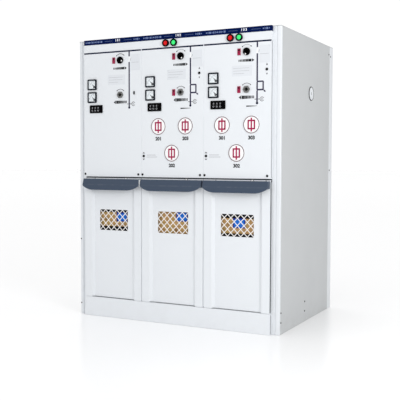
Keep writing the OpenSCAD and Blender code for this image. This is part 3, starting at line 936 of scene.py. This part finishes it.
class CABINET_OT_fuse_caps(bpy.types.Operator):
    """Dress the fuse caps and print their rings, signs and figures"""

    bl_idname = "cabinet.fuse_caps"
    bl_label = "Fuse Caps"

    def execute(self, context):
        sign_w, sign_h, sign_line, sign_r, stem = 36, 42, 6.8, 3, 9
        ring_w, figure_h, figure_drop, figure_bold = 3.4, 15, 17, 0.065
        dress("fuse_caps")
        boxes = solid_boxes("fuse_caps")
        cap_y = boxes[0][0].y
        rings, signs, figures = Print(cap_y), Print(cap_y), Print()
        for index, box in enumerate(boxes):
            place = middle_of(box)
            radius = (box[1].x - box[0].x) / 2 / MM
            rings.arc(place, radius - ring_w, ring_w, start=0, end=360, steps=64)
            signs.outline(place, sign_w, sign_h, sign_r, sign_line)
            signs.rect(place, sign_line, sign_h - 2 * sign_line)
            for end in (-1, 1):
                signs.rect(beside(place, 0, end * (sign_h + stem) / 2), sign_line, stem)
            text = f"{FUSE_BAYS[index // 3]}0{index % 3 + 1}"
            figures.figures(beside((place[0], box[0].z), 0, -figure_drop), text, figure_h, figure_bold)
        rings.piece("fuse_cap_rings", "ink_rose")
        signs.piece("fuse_cap_signs", "ink_crimson")
        figures.piece("fuse_cap_figures", "ink_black")
        return {"FINISHED"}


class CABINET_OT_locks(bpy.types.Operator):
    """Dress the interlock tags and key locks, and add the small locks"""

    bl_idname = "cabinet.locks"
    bl_label = "Locks and Tags"

    def execute(self, context):
        keyway_w, keyway_h, hint_half = 1.2, 5.5, 4
        dress("interlock_tags")
        dress("key_locks")
        tag_boxes, lock_boxes = solid_boxes("interlock_tags"), solid_boxes("key_locks")
        slots, keyways, hints = Print(tag_boxes[0][0].y), Print(lock_boxes[0][0].y), Print()
        for box in tag_boxes:
            for up, width, height in ((7, 9, 6), (-2, 11, 1.2)):
                slots.rect(beside(middle_of(box), 0, up), width, height)
        for box in lock_boxes:
            place = middle_of(box)
            keyways.rect(place, keyway_w, keyway_h)
            for rise, tip in ((18, 10), (-16, -8)):
                hints.shape(beside(place, 0, rise), [(-hint_half, 0), (hint_half, 0), (0, tip)])
        slots.piece("tag_slots", "ink_black")
        keyways.piece("lock_keyways", "ink_grey")
        hints.piece("lock_hints", "ink_grey")
        self.add_small_locks()
        return {"FINISHED"}

    def add_small_locks(self):
        """Round locks with marks low on the fuse bays, and a narrow one on the first bay."""
        head, head_out = [(6.2, 0), (6.2, 1.4), (5.5, 2), (0, 2)], 2
        lock_x, lock_drop, slot_w, slot_h = -150, 497, 1.4, 6
        mark_up, mark_half, mark_h, line_x, line_w = 12, 7, 7, 16, 2.0
        narrow_x, narrow_drop = 123, 201
        narrow_half_w, narrow_half_h, narrow_out, narrow_r = mm(3.2, 8, 3, 3.1)
        bm = bmesh.new()
        marks, faint, slots = Print(), Print(), Print(FACE_Y - head_out * MM)
        for bay in FUSE_BAYS:
            place = on_panel(bay, lock_x, lock_drop)
            add_lathe(bm, (place[0], FACE_Y, place[1]), FRONT, head)
            slots.rect(place, slot_w, slot_h, angle=35)
            for way in (-1, 1):
                mark = [(-mark_half, 0), (mark_half, 0), (0, way * mark_h)]
                marks.shape(beside(place, 0, way * mark_up), mark)
            for row, line in ((4.5, 48), (-4.5, 56)):
                faint.rect(beside(place, line_x + line / 2, row), line, line_w)
        x, z = on_panel(1, narrow_x, narrow_drop)
        add_rounded_plate(bm, (x - narrow_half_w, FACE_Y - narrow_out, z - narrow_half_h),
                          (x + narrow_half_w, FACE_Y, z + narrow_half_h), narrow_r)
        close_lathes(bm)
        make_piece(bm, "small_locks", finish("black_plastic"))
        slots.piece("small_lock_slots", "ink_grey")
        marks.piece("small_lock_marks", "ink_grey")
        faint.piece("small_lock_lines", "ink_faint")


class CABINET_OT_diagram(bpy.types.Operator):
    """Print the circuit diagram on the control panels"""

    bl_idname = "cabinet.diagram"
    bl_label = "Circuit Diagram"

    # Millimetres right of a bay's middle, and down from the top of its panel
    line_x, line_end, bus_drop, sensor_drop = 95.5, 266, 4.2, 252
    break_top, break_end = 30, 56
    box_top, box_end, box_w, box_line, box_r = 173, 215, 34.4, 6.4, 6

    def execute(self, context):
        end_dot_drop, end_dot_r, bus_gap, bus_thinner = 3, 5.5, 2, 0.4
        break_t = 0.2 * MM
        line = context.scene.cabinet_sizes.line_w / MM
        bus, lines, fine, breaks = Print(), Print(), Print(), Print()
        for bay in BAYS:
            low, high = PANEL_BOXES[bay]
            bus.rect(on_panel(bay, 0, self.bus_drop), (high.x - low.x) / MM - bus_gap, line - bus_thinner)
            stops = [(self.bus_drop + line / 2, self.break_top), (self.break_end, self.line_end)]
            if bay in FUSE_BAYS:
                stops[1:] = [(self.break_end, self.box_top), (self.box_end, self.line_end)]
                self.add_fuse_box(lines, bay)
            for first, last in stops:
                lines.rect(on_panel(bay, self.line_x, (first + last) / 2), line, last - first)
            bus.disc(on_panel(bay, self.line_x, self.line_end + end_dot_drop), end_dot_r)
            self.add_break(breaks, fine, bay)
            self.add_sensor(fine, on_panel(bay, self.line_x, self.sensor_drop))
        bus.piece("diagram_bus", "ink_navy")
        lines.piece("diagram_lines", "ink_slate")
        breaks.piece("diagram_breaks", "fuse_white", break_t)
        fine.piece("diagram_fine_lines", "ink_grey")
        return {"FINISHED"}

    def add_fuse_box(self, lines, bay):
        """A round-cornered box to the right of the line, with a small striker arrow."""
        striker, striker_x, striker_drop = [(-8, 2), (-8, -2), (0, -3.6), (5, 0), (0, 3.6)], 36, 4
        across, middle = self.line_x + (self.box_w - self.box_line) / 2, (self.box_top + self.box_end) / 2
        lines.outline(on_panel(bay, across, middle), self.box_w, self.box_end - self.box_top, self.box_r,
                      self.box_line)
        lines.shape(on_panel(bay, self.line_x + striker_x, self.box_end + striker_drop), striker, angle=-45)

    def add_break(self, breaks, fine, bay):
        """The pale blade of the open switch in the gap of the line, and a fine line beside it."""
        blade_w, blade_gap = 4.5, 1
        fine_x, fine_up, fine_w, fine_share = 9.5, 1, 1.0, 0.8
        place = on_panel(bay, self.line_x, (self.break_top + self.break_end) / 2)
        height = self.break_end - self.break_top - 2 * blade_gap
        breaks.rect(place, blade_w, height, angle=-8)
        fine.rect(beside(place, fine_x, fine_up), fine_w, height * fine_share, angle=-18)

    def add_sensor(self, fine, place):
        """A voltage tap: a cross line on the diagram and a ring beside it."""
        ring_x, ring_r, ring_line = 23, 9, 2.2
        for across, width, height in ((-7.5, 8, 3), (7.5, 8, 3), (13, 3, 1.8), (20, 1.6, 11), (25, 1.6, 11)):
            fine.rect(beside(place, across), width, height)
        fine.arc(beside(place, ring_x), ring_r, ring_line, start=25, end=335)


class CABINET_OT_labels(bpy.types.Operator):
    """Add the label plates, turning arcs and direction arrows around the sockets"""

    bl_idname = "cabinet.labels"
    bl_label = "Labels and Arrows"

    def execute(self, context):
        wedge = [(0, -2.6), (52, -0.6), (52, 0.6), (12, 2.6), (0, 2.6)]
        wedge_x, wedge_drop, rule_t = 45, 281, 0.15 * MM
        plates, rules = bmesh.new(), Print(FACE_Y - context.scene.cabinet_sizes.plate_t)
        arcs, arrows, faint = Print(), Print(), Print()
        for bay in BAYS:
            wide_drop = 104 if bay in FUSE_BAYS else 113
            for across, drop, width, height, rows in ((-24, wide_drop, 96, 46, 3), (106, 22, 49, 74, 1)):
                self.add_plate(plates, rules, on_panel(bay, across, drop), width, height, rows)
            load, earth = (middle_of(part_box(f"{kind}_switch_socket_{bay}")) for kind in ("load", "earth"))
            if bay in FUSE_BAYS:
                self.add_turn_arc(faint, arrows, load, radius=30, line=2.2)
                arrows.shape(on_panel(bay, wedge_x, wedge_drop), wedge)
            else:
                self.add_turn_arc(arcs, arcs, load, radius=30, line=3)
            self.add_turn_arc(arcs, arcs, earth, radius=27, line=2.4)
            self.add_arrow(arrows, beside(load, -2, -38), reach=76, height=11.5, way=1)
            self.add_arrow(arrows, beside(earth, 0, -34), reach=74, height=14.5, way=-1)
        make_piece(plates, "label_plates", finish("label_grey"))
        rules.piece("label_rules", "ink_faint", rule_t)
        faint.piece("faint_arcs", "ink_faint")
        arcs.piece("turning_arcs", "ink_grey")
        arrows.piece("direction_arrows", "ink_black")
        return {"FINISHED"}

    def add_plate(self, plates, rules, corner, width, height, rows):
        """A plate, from its top left corner, with faint lines on its front."""
        corner_r = 2 * MM
        line, margin, long_share, short_share = 1.0, 0.06 * width, 0.8, 0.55
        left, top = corner
        right, low = beside(corner, width, -height)
        add_rounded_plate(plates, (left, rules.y, low), (right, FACE_Y, top), corner_r)
        for row in range(1, rows + 1):
            reach = width * (long_share if row % 3 else short_share)
            rules.rect(beside(corner, margin + reach / 2, -row * height / (rows + 1)), reach, line)

    def add_turn_arc(self, arcs, ends, place, radius, line):
        """An arc above a socket with a mark at each end."""
        first, last, mark_gap, mark = 52, 128, 5, 4.5
        arcs.arc(place, radius, line, first, last)
        for angle in (first - mark_gap, last + mark_gap):
            ends.rect(around(place, radius, angle), mark, mark, angle)

    def add_arrow(self, arrows, place, reach, height, way):
        """A broken arrow that points right for way 1 and left for way -1, with finer bars at its tail."""
        head, head_half, gap, bars = 11, 0.6 * height, 2.5, 9
        bar_share, narrower, lower = 0.95, 0.05, 0.025
        tip = beside(place, way * reach / 2)
        arrows.shape(tip, [(0, 0), (-way * head, head_half), (-way * head, -head_half)])
        step = (reach - head - gap) / bars
        for i in range(bars):
            back = head + gap + (i + 0.5) * step
            arrows.rect(beside(tip, -way * back), step * (bar_share - narrower * i), height * (1 - lower * i))


class CABINET_OT_header_marks(bpy.types.Operator):
    """Print the bay numbers, lines and index bars on the header strip"""

    bl_idname = "cabinet.header_marks"
    bl_label = "Header Marks"

    def execute(self, context):
        figure_x, figure_up, figure_h, line_w = 32, 1, 10.0, 1.0
        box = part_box("header_strip")
        figures, marks = Print(box[0].y), Print(box[0].y)
        for bay in BAYS:
            place = (bay_x(bay), centre_of(box).z)
            figures.figures(beside(place, figure_x, figure_up), f"10{bay}", figure_h, bold=0.06, spacing=1.5)
            for first, last in ((-42, 2), (66, 110)):
                marks.rect(beside(place, (first + last) / 2), last - first, line_w)
            for first, last in ((-152, -54), (120, 156)):
                self.add_bars(marks, place, first, last)
        figures.piece("header_figures", "ink_white")
        marks.piece("header_marks", "ink_steel")
        return {"FINISHED"}

    def add_bars(self, marks, place, first, last):
        """A row of index bars, of four repeating widths and two heights."""
        widths, gap, tall, short = (6.0, 3.0, 9.0, 4.0), 3.4, 8.0, 5.0
        start = first
        for index, width in enumerate(itertools.cycle(widths)):
            if start + width > last:
                break
            marks.rect(beside(place, start + width / 2), width, tall if index % 3 else short)
            start += width + gap


class CABINET_OT_screws(bpy.types.Operator):
    """Add the screws of the panels, post, sides, back and roof, and the rings around the side plugs"""

    bl_idname = "cabinet.screws"
    bl_label = "Screws"

    # Millimetres across from a middle, down from the panels' top, behind the front or up from the floor
    panel_across, panel_drop = (-157, 145), 583
    side_places = [(34, 95), (34, 52), (348, 95), (348, 50), (683, 1294), (712, 1286), (709, 711)]
    post_in, post_heights = 5, (53, 372)
    back_across, back_heights = (-455, -152, 152, 455), (40, 460, 880, 1300)
    roof_places = [(x, behind) for x in (-490, 0, 490) for behind in (60, 700)]
    shell_scale, post_scale = 0.75, 0.6

    def execute(self, context):
        front, shell, rings = bmesh.new(), bmesh.new(), bmesh.new()
        for bay in BAYS:
            for across in self.panel_across:
                x, z = on_panel(bay, across, self.panel_drop)
                self.add_screw(front, (x, FACE_Y, z), FRONT)
        for side in (-1, 1):
            for behind, z in self.side_places:
                place = (side * SIDE_X, FACE_Y + behind * MM, z * MM)
                self.add_screw(shell, place, (side, 0, 0), self.shell_scale)
        for z in self.post_heights:
            self.add_screw(shell, (self.post_in * MM - SIDE_X, POST_Y, z * MM), FRONT, self.post_scale)
        # The back has screws along its edges only
        outer_x, outer_z = self.back_across[::3], self.back_heights[::3]
        for x, z in itertools.product(self.back_across, self.back_heights):
            if x in outer_x or z in outer_z:
                self.add_screw(shell, (x * MM, BACK_Y, z * MM), (0, 1, 0), self.shell_scale)
        for x, behind in self.roof_places:
            self.add_screw(shell, (x * MM, FACE_Y + behind * MM, ROOF_Z), (0, 0, 1), self.shell_scale)
        for low, high in solid_boxes("side_plugs"):
            self.add_plug_ring(rings, low, high)
        for bm, name, look in ((front, "panel_screws", "screw_dark"), (shell, "housing_screws", "screw_dark"),
                               (rings, "plug_rings", "black_plastic")):
            close_lathes(bm)
            make_piece(bm, name, finish(look))
        return {"FINISHED"}

    def add_screw(self, bm, place, axis, scale=1.0):
        """A domed head with a round recess."""
        sizes = bpy.context.scene.cabinet_sizes
        r, out = sizes.screw_d / MM / 2 * scale, sizes.screw_out / MM * scale
        dome = [(1, 0), (1, 0.35), (0.86, 0.7), (0.6, 0.94), (0.42, 1), (0.36, 0.9), (0.34, 0.35), (0, 0.35)]
        add_lathe(bm, place, axis, [(r * wide, out * high) for wide, high in dome], segments=20)

    def add_plug_ring(self, bm, low, high):
        """A soft seal around a side plug, and the slot in its middle."""
        ring = [(0, 0), (0, 2.2), (1.4, 2.8), (3, 1.6), (4, 0)]
        slot_half = Vector(mm(0.3, 1.5, 7))
        way = 1 if high.x > 0 else -1
        middle = centre_of((low, high))
        radius = (high.z - low.z) / 2 / MM
        add_lathe(bm, (way * SIDE_X, middle.y, middle.z), (way, 0, 0),
                  [(radius + wider, out) for wider, out in ring], segments=48)
        slot = Vector((high.x if way > 0 else low.x, middle.y, middle.z))
        add_block(bm, slot - slot_half, slot + slot_half)


class CABINET_OT_stage(bpy.types.Operator):
    """Set up the pale floor, the camera, the soft light and the white surroundings"""

    bl_idname = "cabinet.stage"
    bl_label = "Stage"

    def execute(self, context):
        stage = context.scene.cabinet_stage
        self.add_floor()
        self.add_camera(stage)
        self.add_key_light(stage)
        self.add_sky(stage)
        context.scene.view_settings.view_transform = "Standard"
        return {"FINISHED"}

    def add_floor(self):
        """A wide pale floor with a faint gloss, just under the cabinet."""
        floor_r, floor_z = 60.0, -0.0005
        bm = bmesh.new()
        bmesh.ops.create_circle(bm, cap_ends=True, radius=floor_r, segments=96)
        floor = add_object("floor", make_mesh(bm, "floor", plain_material("floor_pale", PALE_FLOOR)))
        floor.location.z = floor_z

    def add_camera(self, stage):
        data = bpy.data.cameras.new("camera")
        data.lens = stage.lens
        data.sensor_width = 36.0
        data.clip_end = 200.0
        camera = add_object("camera", data)
        camera.location = stage.camera_place
        level = Euler((math.pi / 2 - stage.camera_pitch, 0.0, stage.camera_turn)).to_matrix()
        camera.rotation_euler = (level @ Matrix.Rotation(stage.camera_roll, 3, "Z")).to_euler()
        bpy.context.scene.camera = camera

    def add_key_light(self, stage):
        """One large soft light at the front right."""
        place, target, size = Vector((2.9, -2.1, 1.5)), Vector((0.3, 0.0, 0.7)), 1.4
        data = bpy.data.lights.new("key_light", "AREA")
        data.shape = "DISK"
        data.size = size
        data.energy = stage.key
        light = add_object("key_light", data)
        light.location = place
        light.rotation_euler = (target - place).to_track_quat("-Z", "Y").to_euler()

    def add_sky(self, stage):
        """White surroundings that are dimmer on the right."""
        world = bpy.data.worlds.new("surroundings")
        world.use_nodes = True
        tree = world.node_tree
        direction = tree.nodes.new("ShaderNodeTexCoord").outputs["Generated"]
        right = add_node(tree, "ShaderNodeSeparateXYZ", {"Vector": direction}).outputs["X"]
        shade = ranged(tree, right, 0.0, 0.9, 1.0, stage.side_sky)
        background = tree.nodes["Background"]
        background.inputs["Color"].default_value = (1.0, 1.0, 1.0, 1.0)
        tree.links.new(computed(tree, "MULTIPLY", shade, stage.sky), background.inputs["Strength"])
        bpy.context.scene.world = world


OPERATORS = (
    CABINET_OT_housing, CABINET_OT_front_panels, CABINET_OT_cable_covers, CABINET_OT_boards,
    CABINET_OT_sockets, CABINET_OT_meters, CABINET_OT_indicators, CABINET_OT_lamps, CABINET_OT_fuse_caps,
    CABINET_OT_locks, CABINET_OT_diagram, CABINET_OT_labels, CABINET_OT_header_marks, CABINET_OT_screws,
    CABINET_OT_stage,
)


class CABINET_PT_sidebar(bpy.types.Panel):
    """Steps and settings of the switchgear cabinet"""

    bl_idname = "CABINET_PT_sidebar"
    bl_label = "Switchgear Cabinet"
    bl_space_type = "VIEW_3D"
    bl_region_type = "UI"
    bl_category = "Cabinet"

    def draw(self, context):
        steps = self.layout.column(align=True)
        for operator in OPERATORS:
            steps.operator(operator.bl_idname)
        scene = context.scene
        for group in (scene.cabinet_sizes, scene.cabinet_colours, scene.cabinet_stage):
            box = self.layout.box()
            for name in group.bl_rna.properties.keys():
                if name not in ("rna_type", "name"):
                    box.prop(group, name)


GROUPS = {"cabinet_colours": CabinetColours, "cabinet_sizes": CabinetSizes, "cabinet_stage": CabinetStage}
CLASSES = (*GROUPS.values(), *OPERATORS, CABINET_PT_sidebar)


def register():
    for cls in CLASSES:
        bpy.utils.register_class(cls)
    for name, group in GROUPS.items():
        setattr(bpy.types.Scene, name, PointerProperty(type=group))


def unregister():
    for name in GROUPS:
        delattr(bpy.types.Scene, name)
    for cls in reversed(CLASSES):
        bpy.utils.unregister_class(cls)


def main():
    register()
    for operator in OPERATORS:
        category, name = operator.bl_idname.split(".")
        getattr(getattr(bpy.ops, category), name)()


if __name__ == "__main__":
    main()
